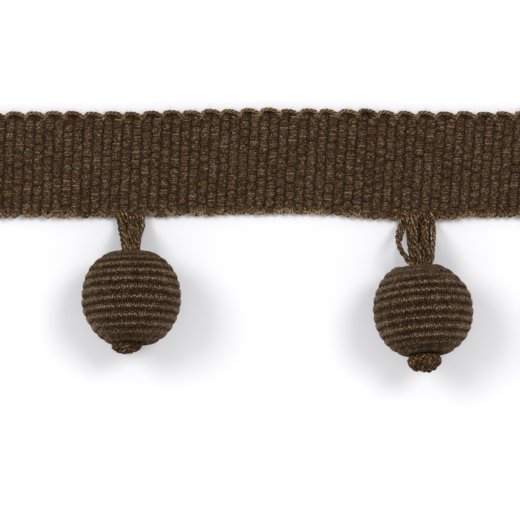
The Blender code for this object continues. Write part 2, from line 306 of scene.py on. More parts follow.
# What yarn_material asks, for each kind of yarn
YARN_LOOKS = {
    "tape_yarn": {"shades": TAPE_SHADES, "fibre_rows": 3.4, "fibre_pitch": 4.0,
                  "fleck_gain": 1.05, "mottle": 0.80, "strand_gain": 0.03},
    "edge_yarn": {"shades": STEM_SHADES, "fibre_rows": 4.0, "fibre_pitch": 0.50,
                  "fleck_gain": 0.60, "mottle": 0.50, "strand_gain": 0.06},
    "thread_yarn": {"shades": STEM_SHADES, "fibre_rows": 4.0, "fibre_pitch": 0.50,
                    "fleck_gain": 0.30, "mottle": 0.30, "strand_gain": 0.03, "gloss": 0.2},
    "ball_yarn": {"shades": BALL_SHADES, "fibre_rows": 2.0, "fibre_pitch": 0.50,
                  "fleck_gain": 0.95, "mottle": 0.92, "strand_gain": 0.05, "sheen": 0.14,
                  "gloss": 0.02},
    "stem_yarn": {"shades": STEM_SHADES, "fibre_rows": 4.0, "fibre_pitch": 2.0,
                  "fleck_gain": 1.25, "mottle": 0.50, "strand_gain": 0.12,
                  "fleck_turns": (1.95, 1.75), "fleck_length": 2.2},
    "knot_yarn": {"shades": STEM_SHADES, "fibre_rows": 4.0, "fibre_pitch": 1.0,
                  "fleck_gain": 1.10, "mottle": 0.50, "strand_gain": 0.09,
                  "fleck_turns": (0.9, 2.3), "fleck_length": 1.7},
}


def set_inputs(node, **inputs):
    """Sets a node's inputs by name, with _ in place of a space."""
    for name, value in inputs.items():
        node.inputs[name.replace("_", " ")].default_value = value


def add_node(tree, kind, **inputs):
    """New shader node with the named inputs set."""
    node = tree.nodes.new(kind)
    set_inputs(node, **inputs)
    return node


def new_material(name, **inputs):
    """New material with the named inputs of its shader set."""
    material = bpy.data.materials.new(name)
    material.use_nodes = True
    set_inputs(material.node_tree.nodes["Principled BSDF"], **inputs)
    return material


def maths(tree, operation, *values):
    """Maths node of sockets or numbers."""
    node = tree.nodes.new("ShaderNodeMath")
    node.operation = operation
    for socket, value in zip(node.inputs, values):
        if isinstance(value, (int, float)):
            socket.default_value = value
        else:
            tree.links.new(value, socket)
    return node.outputs[0]


def ramp(tree, source, shades):
    """Colour ramp through evenly spaced shades."""
    node = tree.nodes.new("ShaderNodeValToRGB")
    elements = node.color_ramp.elements
    while len(elements) < len(shades):
        elements.new(0.5)
    for index, shade in enumerate(shades):
        elements[index].position = index / (len(shades) - 1)
        elements[index].color = (*shade, 1.0)
    tree.links.new(source, node.inputs["Fac"])
    return node.outputs["Color"]


def noise(tree, place, scale, detail=2.0, roughness=0.5):
    """Fractal noise from 0 to 1, in patches 1 / scale metres wide."""
    node = add_node(tree, "ShaderNodeTexNoise", Scale=scale, Detail=detail, Roughness=roughness)
    tree.links.new(place, node.inputs["Vector"])
    return node.outputs["Fac"]


def centred(tree, source):
    """A value from 0 to 1, moved to lie from -0.5 to 0.5."""
    return maths(tree, "SUBTRACT", source, 0.5)


def melange(tree, place, colour):
    """Colour that drifts a little between golden and reddish fibres."""
    node = tree.nodes.new("ShaderNodeHueSaturation")
    hue = centred(tree, noise(tree, place, HUE_SCALE, 1.0))
    depth = centred(tree, noise(tree, place, DEPTH_SCALE, 1.0))
    tree.links.new(maths(tree, "MULTIPLY_ADD", hue, 0.15, 0.5), node.inputs["Hue"])
    tree.links.new(maths(tree, "MULTIPLY_ADD", depth, 1.0, 1.0), node.inputs["Saturation"])
    tree.links.new(colour, node.inputs["Color"])
    return node.outputs["Color"]


def flecks(tree, place, turn, stretch):
    """Mask of short fibres that catch the light: paler fibres and painted glints, drawn out at an
    angle.
    """
    mapping = add_node(tree, "ShaderNodeMapping", Rotation=(0.0, 0.0, turn),
                       Scale=(stretch, 1.0, 1.0))
    mapping.vector_type = "TEXTURE"
    tree.links.new(place, mapping.inputs["Vector"])
    cells = add_node(tree, "ShaderNodeTexVoronoi", Scale=FLECK_SCALE)
    tree.links.new(mapping.outputs["Vector"], cells.inputs["Vector"])
    parts = tree.nodes.new("ShaderNodeSeparateXYZ")
    tree.links.new(cells.outputs["Color"], parts.inputs[0])
    limit = add_node(tree, "ShaderNodeMapRange", From_Min=FLECK_START, From_Max=FLECK_FULL)
    limit.interpolation_type = "SMOOTHSTEP"
    tree.links.new(parts.outputs[0], limit.inputs["Value"])
    return limit.outputs["Result"]


def lay_parts(tree):
    """A point's lay: how far along its yarn it is, where across it, and its tone."""
    lay = tree.nodes.new("ShaderNodeAttribute")
    lay.attribute_name = "lay"
    parts = tree.nodes.new("ShaderNodeSeparateXYZ")
    tree.links.new(lay.outputs["Vector"], parts.inputs[0])
    return parts.outputs


def twisted_strands(tree, along, across, grain, fibre_rows, fibre_pitch):
    """Waves from -1 to 1 across the fibre bundles, which the grain bends a little."""
    wander = maths(tree, "MULTIPLY", centred(tree, grain), 1.1)
    twist = maths(tree, "MULTIPLY_ADD", across, fibre_rows, wander)
    twist = maths(tree, "ADD", twist, maths(tree, "DIVIDE", along, fibre_pitch))
    return maths(tree, "SINE", maths(tree, "MULTIPLY", twist, TAU))


def add_relief(tree, shader, strands, grain, light):
    """Fine bump of the strands, the grain and the fibres that catch the light."""
    relief = maths(tree, "MULTIPLY_ADD", strands, 0.35, grain)
    relief = maths(tree, "MULTIPLY_ADD", light, 0.5, relief)
    bumps = add_node(tree, "ShaderNodeBump", Strength=1.0, Distance=BUMP_HEIGHT)
    tree.links.new(relief, bumps.inputs["Height"])
    tree.links.new(bumps.outputs["Normal"], shader.inputs["Normal"])


def yarn_material(name, shades, fibre_rows, fibre_pitch, fleck_gain, mottle, strand_gain,
                  sheen=0.10, gloss=0.08, fleck_turns=(0.45, -0.35), fleck_length=1.4):
    """Twisted fibres that follow the lay, in shades that run from groove to crest.

    fibre_rows bundles of fibres lie side by side per unit across, and shift by one every
    fibre_pitch millimetres along. fleck_gain, mottle and strand_gain are how much the bright
    fibres, the grain and the bundles change the shade. The bright fibres lie at the angles
    fleck_turns, and are fleck_length times as long as wide.
    """
    material = new_material(name, Roughness=0.9, Specular_IOR_Level=gloss, Sheen_Weight=sheen,
                            Sheen_Roughness=0.4, Sheen_Tint=SHEEN_TINT)
    tree = material.node_tree
    shader = tree.nodes["Principled BSDF"]
    along, across, tone = lay_parts(tree)
    place = tree.nodes.new("ShaderNodeTexCoord").outputs["Object"]
    grain = noise(tree, place, GRAIN_SCALE, 2.0, 0.6)
    cloud = noise(tree, place, CLOUD_SCALE)
    light = maths(tree, "MAXIMUM", *(flecks(tree, place, turn, fleck_length)
                                     for turn in fleck_turns))
    strands = twisted_strands(tree, along, across, grain, fibre_rows, fibre_pitch)

    shade = maths(tree, "MULTIPLY_ADD", centred(tree, grain), mottle * 2.0, tone)
    shade = maths(tree, "MULTIPLY_ADD", centred(tree, cloud), mottle * 0.2, shade)
    shade = maths(tree, "MULTIPLY_ADD", strands, strand_gain, shade)
    # painted glints: the bright fibres add lightness, more so where the tone is lighter
    lit = maths(tree, "MULTIPLY", light, maths(tree, "ADD", tone, 0.15))
    shade = maths(tree, "MULTIPLY_ADD", lit, fleck_gain, shade)
    colour = melange(tree, place, ramp(tree, shade, shades))
    tree.links.new(colour, shader.inputs["Base Color"])
    add_relief(tree, shader, strands, grain, light)
    return material


def floor_material():
    """Plain matt white."""
    return new_material("studio_floor", Base_Color=FLOOR_SHADE, Roughness=1.0,
                        Specular_IOR_Level=0.0)


# ---- heading tape
FLOATS = 12  # warp floats down one rib
FLOAT_ROWS = 12  # rows of points down one float
FLOAT_THREADS = 3  # threads that lie side by side down one float
FRONT_ROWS = FLOATS * FLOAT_ROWS
BACK_ROWS = 30
EDGE_ROWS = 5
# Columns of points across a rib, as shares of its width
RIB_STATIONS = (0.0, 0.08, 0.18, 0.34, 0.50, 0.66, 0.82, 0.92)
RIB_RELIEF = 0.50
BLOCK_WIDTH = 0.93  # share of a rib's width that its crown takes
BLOCK_SWELL = 0.10  # by which a float is wider in its middle
RIB_WANDER = 0.05  # by which a rib strays sideways
BACK_RELIEF = 0.22
EDGE_ROLL = 0.62  # by which the front rolls down at both edges
BACK_ROLL = 0.20
ROLL_WIDTH = 0.75
SELVEDGE_INSET = 0.35  # from the lower edge in to where the weave ends
SHOULDER_RISE = 0.22  # the upper edge swells a little near its middle
SHOULDER_X = 13.0
SHOULDER_REACH = 14.0

GAP_DEPTH = 0.80  # share of the relief lost between two floats
GAP_PAINTED_SHADE = 0.85  # painted shade: share of the tone lost there
# The tone rises with the weave's height: painted shade in the grooves, the gaps and between
# threads
THREAD_RISE, THREAD_TONE = 0.10, 0.055
SPECKLE_RISE, SPECKLE_TONE = 0.04, 0.035
PAINTED_GROOVE_TONE, FLOAT_TONE = 0.10, 0.21
LOOP_SHADOW = 0.50  # share of the tone lost under the upper loops
LOOP_SHADOW_REACH = 0.62  # in floats from the upper edge
LOOP_SHADOW_FADE = 0.3
# Painted shade: the edge and back tones are darker in the grooves between the ribs
EDGE_TONE, EDGE_CROWN_TONE = 0.04, 0.14
BACK_TONE, BACK_CROWN_TONE = 0.05, 0.36


def centre_line(x):
    """Y of the tape's centre line."""
    return HUMP_RISE * soft_bump(x - HUMP_X, HUMP_REACH)


def lower_edge(x):
    """Distance from the centre line to the ribs' lower ends."""
    return TAPE_LOWER_EDGE + PULL_DEPTH * soft_bump(x - PULL_X, PULL_REACH)


def lean(x):
    """Slope by which the ribs lean to the right."""
    share = x / TAPE_LENGTH + 0.5
    return np.tan(LEAN_LEFT + share * (LEAN_RIGHT - LEAN_LEFT))


def along_tape(ribs):
    """X at a count of ribs from the tape's left end."""
    return (ribs / RIB_COUNT - 0.5) * TAPE_LENGTH


def tape_place(x, across):
    """X and Y of a point of the tape: x along it, across from -1 (lower) to 1 (upper)."""
    upper = TAPE_UPPER_EDGE + SHOULDER_RISE * soft_bump(x - SHOULDER_X, SHOULDER_REACH)
    lower = lower_edge(x) - SELVEDGE_INSET
    y = np.where(across > 0.0, across * upper, across * lower)
    wave = RIB_WANDER * np.sin(0.9 * y + 0.35 * x) + RIB_WANDER * np.sin(2.1 * y - 1.9 * x)
    return x + y * lean(x) + wave * (1.0 - across ** 2), y + centre_line(x)


def float_borders():
    """Level of each rib's float borders, counted in floats up from the lower edge."""
    random = np.random.default_rng(11)
    jitter = random.uniform(-0.08, 0.08, (RIB_COUNT, FLOATS + 3))
    offset = 0.5 * (np.arange(RIB_COUNT) % 2)[:, None]
    return np.arange(FLOATS + 3) - 1.0 + offset + jitter


def float_variety():
    """Where the borders are and how deep, how full each float is, how much lighter a thread."""
    random = np.random.default_rng(12)
    fullness = random.uniform(0.92, 1.02, (RIB_COUNT, FLOATS + 3))
    depths = random.uniform(0.55, 1.0, (RIB_COUNT, FLOATS + 4))
    lighter = random.normal(0.0, 0.028, (RIB_COUNT, FLOAT_THREADS * (FLOATS + 3)))
    return float_borders(), fullness, depths, lighter


def rib_height(stations):
    """Height across a rib: 1 on its crown, 0 in the grooves beside it."""
    side = np.abs(2.0 * stations - 1.0)
    return np.sqrt(np.clip(1.0 - (side / BLOCK_WIDTH) ** 3.0, 0.0, 1.0))


def float_place(row, ribs, stations, borders):
    """Number of the float that a row crosses, the share of it passed, and the row's level.

    The level, in floats, follows the borders on a rib, and is even between the ribs.
    """
    count = row + FLOAT_ROWS * (1.0 - 0.5 * (ribs % 2))
    number = np.floor(count / FLOAT_ROWS).astype(int)
    share = count / FLOAT_ROWS - number
    low, high = borders[ribs, number], borders[ribs, number + 1]
    firm = np.clip(9.0 * np.minimum(stations, 1.0 - stations), 0.0, 1.0)
    return number, share, (1.0 - firm) * row / FLOAT_ROWS + firm * (low + share * (high - low))


def weave_row(row, ribs, stations, speckle, variety):
    """Sideways swell, level, height and tone of the weave along one row of the front."""
    borders, fullness, depths, lighter = variety
    number, share, level = float_place(row, ribs, stations, borders)
    swell = -BLOCK_SWELL * (2.0 * stations - 1.0) * np.cos(TAU * share)
    depth = depths[ribs, number + np.where(share < 0.5, 0, 1)]
    gap = depth * np.abs(2.0 * share - 1.0) ** 4.0
    thread = number * FLOAT_THREADS + np.floor(share * FLOAT_THREADS).astype(int)
    crest = -np.cos(TAU * FLOAT_THREADS * share)
    rise = rib_height(stations)
    height = rise * (fullness[ribs, number] * (1.0 - GAP_DEPTH * gap) + SPECKLE_RISE * speckle
                     + THREAD_RISE * crest)
    # painted shade: darker in the grooves, in the gaps between floats and between threads
    tone = PAINTED_GROOVE_TONE + rise * (1.0 - GAP_PAINTED_SHADE * gap) * FLOAT_TONE
    tone = tone + rise * (lighter[ribs, thread] + THREAD_TONE * crest + SPECKLE_TONE * speckle)
    under = np.clip(row / FLOAT_ROWS - FLOATS + LOOP_SHADOW_REACH, 0.0, LOOP_SHADOW_FADE)
    return swell, level, height, tone * (1.0 - LOOP_SHADOW * under / LOOP_SHADOW_FADE)


def tape_grid():
    """Rib, place across the rib and X of every column of the tape's skin."""
    ribs = np.append(np.repeat(np.arange(RIB_COUNT), len(RIB_STATIONS)), RIB_COUNT - 1)
    stations = np.append(np.tile(RIB_STATIONS, RIB_COUNT), 1.0)
    return ribs, stations, along_tape(ribs + stations)


def edge_roll(across, amount):
    """How far the skin rolls inward near the tape's edges."""
    reach = (1.0 - np.abs(across)) * TAPE_UPPER_EDGE / ROLL_WIDTH
    return amount * np.clip(1.0 - reach, 0.0, 1.0) ** 1.6


def skin_row(x, across, level, tone, bulge=0.0, swell=0.0):
    """Points, tones and places across the tape of one row, at a level above the floor."""
    px, py = tape_place(x + swell, np.broadcast_to(across, x.shape))
    return np.stack([px, py + bulge, level + 0.0 * x], axis=1), tone, py


def front_rows(ribs, stations, x):
    """Rows of the tape's front, from its lower edge to its upper edge."""
    speckle = np.random.default_rng(13).normal(0.0, 1.0, (FRONT_ROWS + 1, len(x)))
    variety = float_variety()
    rows = []
    for row in range(FRONT_ROWS + 1):
        swell, level, height, tone = weave_row(row, ribs, stations, speckle[row], variety)
        across = np.clip(2.0 * level / FLOATS - 1.0, -1.0, 1.0)
        roll = edge_roll(across, EDGE_ROLL)
        rows.append(skin_row(x, across, TAPE_HEIGHT - RIB_RELIEF * (1.0 - height) - roll, tone,
                             0.0, swell))
    return rows


def edge_rows(crown, x, edge):
    """Rows round the tape's upper (1.0) or lower (-1.0) edge, between front and back."""
    rows = []
    for turn in (np.arange(EDGE_ROWS) + 1.0) / (EDGE_ROWS + 1.0):
        level = 0.5 + edge * 0.55 * math.cos(math.pi * turn)
        bulge = edge * 0.15 * crown * math.sin(math.pi * turn)
        rows.append(skin_row(x, edge, level, EDGE_TONE + EDGE_CROWN_TONE * crown, bulge))
    return rows


def back_rows(ribs, crown, x):
    """Rows of the tape's back, from its upper edge to its lower edge."""
    rows = []
    for row, across in enumerate(np.linspace(1.0, -1.0, BACK_ROWS + 1)):
        waves = 0.5 + 0.5 * np.cos(TAU * (row / 3.0 + 0.5 * (ribs % 2)))
        height = crown * (0.55 + 0.45 * waves)
        groove = BACK_RELIEF * (1.0 - np.clip(1.2 * height, 0.0, 1.0))
        rows.append(skin_row(x, across, edge_roll(across, BACK_ROLL) + groove,
                             BACK_TONE + BACK_CROWN_TONE * height))
    return rows


def skin_faces(rows, columns):
    """Quads between closed rows of the tape's skin, and its two cut ends."""
    faces = []
    for row in range(rows):
        near, far = row * columns, ((row + 1) % rows) * columns
        faces += [(near + c, near + c + 1, far + c + 1, far + c) for c in range(columns - 1)]
    faces.append(tuple(reversed([row * columns for row in range(rows)])))
    faces.append(tuple(row * columns + columns - 1 for row in range(rows)))
    return faces


def tape_shape():
    """The woven sheet: a closed skin of floats on ribs, flattened on its back."""
    ribs, stations, x = tape_grid()
    crown = rib_height(stations)
    rows = front_rows(ribs, stations, x) + edge_rows(crown, x, 1.0)
    rows += back_rows(ribs, crown, x) + edge_rows(crown, x, -1.0)
    points = np.concatenate([row[0] for row in rows])
    points[:, 2] = np.maximum(points[:, 2], 0.0)
    lay = np.empty_like(points)
    lay[:, 0] = np.tile(x, len(rows))
    lay[:, 1] = np.concatenate([row[2] for row in rows])
    lay[:, 2] = np.concatenate([row[1] for row in rows])
    return points, skin_faces(len(rows), len(x)), lay


def bright_thread(random, rib, across):
    """One lighter thread across a rib, or across a part of it."""
    start, end = random.uniform(0.10, 0.17), random.uniform(0.80, 0.90)
    if random.random() < 0.5:
        shown = random.uniform(0.25, 0.45)
        start = random.uniform(start, end - shown)
        end = start + shown
    station = np.linspace(start, end, 9)
    slant = random.uniform(-0.014, 0.014) * (station - 0.5)
    px, py = tape_place(along_tape(rib + station), across + slant)
    sunk = RIB_RELIEF * (1.0 - rib_height(station))
    pz = TAPE_HEIGHT - sunk + random.uniform(-0.05, 0.06)
    return yarn_shape(np.stack([px, py, pz], axis=1), random.uniform(0.11, 0.15), 2, 0.9,
                      random.uniform(0.60, 1.70), 4, random.uniform(0.0, TWIST_STARTS))


def bright_thread_shapes():
    """Single lighter warp threads that cross the ribs between the floats."""
    random = np.random.default_rng(5)
    borders = float_borders()
    often = random.uniform(0.25, 0.85, (2, FLOATS + 3))
    shapes = []
    for rib in range(RIB_COUNT):
        for number in range(1, FLOATS + 2):
            if random.random() > often[rib % 2, number]:
                continue
            across = 2.0 * (borders[rib, number] + random.uniform(-0.07, 0.05)) / FLOATS - 1.0
            if -0.93 < across < 0.93:
                shapes.append(bright_thread(random, rib, across))
    return shapes


# ---- looped edges
UPPER_LOOP_PEAK = 0.39  # how far the upper loops stand out past the weave
UPPER_LOOP_RADIUS = 0.36
# The two yarns of an upper loop: height above the floor, inset from the peak, and tone
# the lower yarn's darker tone is painted shade under the upper one
UPPER_LOOP_YARNS = ((0.50, 0.12, 0.22), (1.22, 0.0, 0.66))
LOWER_LOOP_YARNS = 2


def upper_loop(random, middle, peak, skew, level, tone):
    """One yarn that comes out of one rib's end, bends over and goes into the next."""
    share = np.linspace(-1.0, 1.0, 40)
    x = middle + (RIB_PITCH - 0.10) * np.sin(0.5 * np.pi * share)
    bend = share + skew * (1.0 - share ** 2)
    lift = peak - 1.25 * np.abs(bend) ** 2.6
    px, py = tape_place(x, np.ones_like(x))
    pz = level + 0.20 * (1.0 - share ** 2) + random.uniform(-0.05, 0.05)
    path = np.stack([px, py + lift, pz], axis=1)
    return yarn_shape(resample(path, LOOP_STEP), UPPER_LOOP_RADIUS, 3, random.uniform(1.8, 2.3),
                      tone + random.uniform(-0.1, 0.1), 6, random.uniform(0.0, TWIST_STARTS))


def upper_loop_shapes():
    """Weft yarns that turn back over two ribs along the upper edge."""
    random = np.random.default_rng(8)
    shapes = []
    for loop in range(RIB_COUNT // RIBS_PER_LOOP):
        slow = 1.0 + 0.20 * math.sin(2.4 * loop)
        peak = UPPER_LOOP_PEAK * slow + random.uniform(-0.09, 0.09)
        middle = along_tape((loop + 0.5) * RIBS_PER_LOOP)
        skew = random.uniform(0.12, 0.32)
        for level, inset, tone in UPPER_LOOP_YARNS:
            shapes.append(upper_loop(random, middle, peak - inset, skew, level, tone))
    return shapes


def lower_loop(random, middle, layer):
    """One small turn of a weft yarn, palest where it bends."""
    share = np.linspace(-1.0, 1.0, 26)
    width = random.uniform(0.50, 0.95)
    slant = random.uniform(-0.5, 0.5)
    drop = SELVEDGE_INSET + random.uniform(-0.34, 0.08) - 0.10 * layer
    root = random.uniform(0.8, 1.3)
    reach = (drop + root) * (1.0 - np.abs(share) ** 3.0) - root
    x = middle + width * share + slant * (reach / (drop + root)) + 0.4 * layer
    px, py = tape_place(x, -np.ones_like(x))
    level = random.uniform(0.95, 1.35) - 0.6 * layer + 0.30 * np.abs(share) ** 1.5
    route = resample(np.stack([px, py - reach, level], axis=1), LOOP_STEP)
    radius, pitch = random.uniform(0.34, 0.46), random.uniform(1.5, 2.2)
    paler = 1.25 - 0.75 * np.abs(np.linspace(-1.0, 1.0, len(route)))
    return yarn_shape(route, radius, 3, pitch, random.uniform(0.45, 0.95) * paler, 5,
                      random.uniform(0.0, TWIST_STARTS))


def lower_loop_shapes():
    """Small uneven turns of the weft along the lower edge."""
    random = np.random.default_rng(9)
    shapes = []
    for loop in range(RIB_COUNT):
        middle = along_tape(loop + random.uniform(0.3, 0.7))
        if abs(middle) <= TAPE_LENGTH / 2 - 1.0:
            shapes += [lower_loop(random, middle, layer) for layer in range(LOWER_LOOP_YARNS)]
    return shapes


# ---- balls
BALL_COLUMNS = 700
BALL_THREADS = 112  # fine threads round a ball
RIDGE_ROWS = 10  # rows of points down one ridge
RIDGE_DEPTH = 0.30
SIDE_RIDGE_DEPTH = 1.25  # times that at the sides, where the ridges stand out more
GROOVE_WOBBLE = 0.045  # in ridges
WINDING_INSET = 0.08  # keeps the threads' relief inside the ball's size
THREAD_RELIEF = 0.12
THREAD_SLANT = 1.1  # threads by which one leans over from groove to groove
FIBRE_RELIEF = 0.026
FRONT_REACH = 75.0  # degrees from the middle of the front to the sides
MERGED_CROWN, MERGED_TONE = 0.85, 0.34
FUNNEL_ROWS = (0.33, 0.66, 1.0)  # shares of the way from the last ridge to the bore

# Tone down a ridge, from the groove above it to the one below: on the front, and on the sides
# painted light on the upper flank, painted shade on the lower flank and in the grooves
FRONT_RIDGE_SHADING = ((0.0, 0.09), (0.15, 0.20), (0.30, 0.25), (0.42, 0.30), (0.52, 0.28), (0.62, 0.18),
               (0.78, 0.12), (0.90, 0.08), (1.0, 0.06))
SIDE_RIDGE_SHADING = ((0.0, 0.09), (0.12, 0.21), (0.30, 0.29), (0.60, 0.31), (0.75, 0.22), (0.88, 0.10),
              (1.0, 0.06))
SMOOTH_TOP_TONE = 0.31  # where the ridges fade
# darker at the knot's end, away from the lamps: painted shade; a little paler on the sides
SMOOTH_LOW_TONE, SMOOTH_LOW_SIDE = 0.105, 0.08
TOP_SHADE = 0.28  # share of the tone lost towards the stem
CREST_HIGHLIGHT_GAIN = 0.80  # painted highlight along each ridge, where the bent threads catch the light
CREST_HIGHLIGHT_PLACE, CREST_HIGHLIGHT_WIDTH, CREST_HIGHLIGHT_ZIGZAG = 0.46, 0.070, 0.06
CREST_HIGHLIGHT_SIDE_LOSS = 0.65
# painted shade between the crossing threads, lighter on their crests
THREAD_EDGE_TONE, THREAD_CREST_TONE = 0.31, 1.02
FIBRE_TONE = 0.055
PAINTED_SHEEN_GAIN = 1.2  # painted sheen: how much paler the tone gets where the ball turns down


class Winding:
    """Ridges of yarn wound round a ball, crossed by fine threads at a slant.

    slide is by how many ridges the grooves rise at most, at which ridge, and how far from it
    that ends. shift is by how many ridges all of them sink. The ridges have faded out at the
    latitude smooth_top. merges are the number, longitude and reach of grooves that close, and
    bulges have a longitude, latitude, reach and rise. These angles are in degrees. Latitude 90
    is towards the tape, longitude -90 faces up.
    """

    def __init__(self, half_height, seed, slide, shift, smooth_top, merges, bulges):
        """The angles round the ball, and the random variety of its ridges and threads."""
        self.half_height, self.smooth_top = half_height, smooth_top
        self.slide, self.shift, self.merges, self.bulges = slide, shift, merges, bulges
        self.angle = TAU * np.arange(BALL_COLUMNS) / BALL_COLUMNS
        self.thread = BALL_THREADS * np.arange(BALL_COLUMNS) / BALL_COLUMNS
        self.beside = 1.0 - soft_bump(self.away(-90.0), math.radians(FRONT_REACH))
        self.random = np.random.default_rng(seed)
        ridges, threads = (RIDGE_COUNT + 1, 1), (RIDGE_COUNT + 1, BALL_THREADS)
        self.sway = self.random.normal(0.0, 1.0, (RIDGE_COUNT + 1, 4))
        self.tint = self.random.normal(0.0, 0.04, threads)
        self.lift = self.random.uniform(0.5, 1.4, threads)
        # how strongly each thread shows the painted highlight
        self.crest_glint = self.random.uniform(0.45, 1.0, threads)
        self.strength = self.random.uniform(0.88, 1.1, ridges) + 0.12 * np.sin(
            self.angle[None, :] * 2.0 + self.random.uniform(0.0, TAU, ridges))

    def away(self, longitude):
        """Angle from a longitude, all the way round."""
        return np.angle(np.exp(1j * (self.angle - math.radians(longitude))))

    def groove(self, ridge):
        """Latitude of the groove above a ridge, all the way round."""
        if ridge in (0, RIDGE_COUNT):
            return RIDGE_SPAN * (0.5 - ridge / RIDGE_COUNT) + 0.0 * self.angle
        weights = self.sway[ridge]
        wobble = GROOVE_WOBBLE * (
            weights[0] * np.sin(self.angle + weights[2] * 3)
            + 0.6 * weights[1] * np.sin(3 * self.angle + weights[3] * 3))
        amount, middle, reach = self.slide
        place = ridge + wobble + self.shift - amount * float(soft_bump(ridge - middle, reach))
        return RIDGE_SPAN * (0.5 - place / RIDGE_COUNT)

    def profile(self, row, share):
        """Height of a ridge's cross-section, 1 on its crown, and its tone, with painted shading.
        """
        crown = np.full(BALL_COLUMNS, math.sqrt(1.0 - abs(2.0 * share ** 0.9 - 1.0) ** 2.0))
        base = (np.interp(share, *np.array(FRONT_RIDGE_SHADING).T) * (1.0 - self.beside)
                + np.interp(share, *np.array(SIDE_RIDGE_SHADING).T) * self.beside)
        for groove, longitude, reach in self.merges:
            near = abs(row / RIDGE_ROWS - groove)
            if near < 0.5:
                fill = soft_bump(self.away(longitude), math.radians(reach))
                fill = fill * (1.0 - 2.0 * near) ** 0.5
                crown = crown + (MERGED_CROWN - crown) * fill
                base = base + (MERGED_TONE - base) * fill
        return crown, base

    def clearness(self, latitude):
        """How clearly the ridges show: less near both ends, and low on the sides."""
        width = math.radians(20.0)
        clear = np.clip((math.radians(self.smooth_top) - latitude) / width, 0.15, 1.0)
        clear = clear * np.clip((latitude + math.radians(60.0)) / width, 0.25, 1.0)
        flank = np.clip(-math.degrees(1.0) * latitude / 40.0 - 0.5, 0.0, 1.0)
        return clear * (1.0 - 0.75 * flank * self.beside)

    def sink(self, latitude, crown, clear, thread):
        """How far a row lies inside the ball's full size."""
        middle = np.clip(4.2 - 4.0 * np.abs(latitude) / (RIDGE_SPAN / 2), 0.0, 1.0)
        depth = clear + (SIDE_RIDGE_DEPTH - clear) * self.beside * middle
        sink = RIDGE_DEPTH * (1.0 - crown) * depth - thread * np.cos(latitude) ** 0.5
        sink = sink - FIBRE_RELIEF * self.random.normal(size=BALL_COLUMNS)
        for longitude, level, reach, rise in self.bulges:
            reach = math.radians(reach)
            sink = sink - rise * (soft_bump(self.away(longitude), reach)
                                  * soft_bump(latitude - math.radians(level), reach))
        return sink + WINDING_INSET

    def tone(self, ridge, share, latitude, base, clear, number, arch):
        """Tone along a row."""
        # painted highlight, zigzagging along each ridge
        zigzag = CREST_HIGHLIGHT_ZIGZAG * np.where(number % 2 == 0, 1.0, -1.0)
        line = np.exp(-((share - CREST_HIGHLIGHT_PLACE - zigzag) / CREST_HIGHLIGHT_WIDTH) ** 2)
        line = line * (1.0 - CREST_HIGHLIGHT_SIDE_LOSS * self.beside)
        # where the ridges fade: painted shade makes the knot's end darker
        plain = np.where(latitude > 0.0, SMOOTH_TOP_TONE,
                         SMOOTH_LOW_TONE + SMOOTH_LOW_SIDE * self.beside)
        keep = clear * np.clip(self.strength[ridge], 0.0, 1.0)
        tone = plain + (base - plain) * keep
        tone = tone + CREST_HIGHLIGHT_GAIN * line * arch ** 2 * self.crest_glint[ridge, number] * keep
        # painted shade where the threads dip
        tone = tone * (THREAD_EDGE_TONE + THREAD_CREST_TONE * arch ** 2) + self.tint[ridge, number]
        tone = tone + FIBRE_TONE * self.random.normal(size=BALL_COLUMNS)
        top = np.clip(math.degrees(1.0) * latitude / 28.0 - 0.9, 0.0, 1.0)
        # painted sheen, paler where the surface turns away from facing up
        turned = 1.0 - np.abs(np.cos(latitude) * np.sin(self.angle))
        return tone * (1.0 - TOP_SHADE * top) * (1.0 + PAINTED_SHEEN_GAIN * turned ** 2)

    def row(self, row):
        """Radius, height, tone and thread count round one row, counted from the tape's end."""
        ridge, place = divmod(row, RIDGE_ROWS)
        share = place / RIDGE_ROWS
        upper, lower = self.groove(ridge), self.groove(min(ridge + 1, RIDGE_COUNT))
        latitude = upper + share * (lower - upper)
        slanted = self.thread + THREAD_SLANT * (share - 0.5) + 0.5 * (ridge % 2)
        number = np.floor(slanted).astype(int) % BALL_THREADS
        arch = np.sqrt(np.clip(1.0 - (2.0 * (slanted % 1.0) - 1.0) ** 2, 0.0, 1.0))
        crown, base = self.profile(row, share)
        clear = self.clearness(latitude)
        thread = THREAD_RELIEF * (arch - 0.6) * self.lift[ridge, number]
        sink = self.sink(latitude, crown, clear, thread)
        tone = self.tone(ridge, share, latitude, base, clear, number, arch)
        radius = (BALL_RADIUS - sink) * np.cos(latitude) ** BALL_FULLNESS
        height = ((self.half_height - sink) * np.sign(latitude)
                  * np.abs(np.sin(latitude)) ** BALL_FULLNESS)
        return radius, height, tone, slanted

    def rows(self):
        """Every row, from the bore's rim by the tape to the rim by the knot."""
        rows = [self.row(row) for row in range(RIDGE_COUNT * RIDGE_ROWS + 1)]
        rim = rim_height(self.half_height)
        first = [funnel_row(rows[0], rim, share, 1.0) for share in reversed(FUNNEL_ROWS)]
        last = [funnel_row(rows[-1], rim, share, -1.0) for share in FUNNEL_ROWS]
        return first + rows + last


def drop_matrix(drop):
    """From the ball's own axes, Z towards the tape, to the trim's, in millimetres."""
    place = Vector((drop["x"] + drop["swing"], drop["ball_y"], BALL_RADIUS - FLAT_DEPTH))
    return (Matrix.Translation(place) @ Matrix.Rotation(drop["turn"], 4, "Z")
            @ Matrix.Rotation(-math.pi / 2 - drop["nod"], 4, "X"))


def moved(points, matrix):
    """Points taken through a 4x4 matrix."""
    turn = np.array(matrix)
    return points @ turn[:3, :3].T + turn[:3, 3]


def rim_height(half_height):
    """Distance from the ball's centre to the bore's rim."""
    level = math.sin(RIDGE_SPAN / 2) ** BALL_FULLNESS
    return (half_height - RIM_SINK) * level - FUNNEL_DEPTH


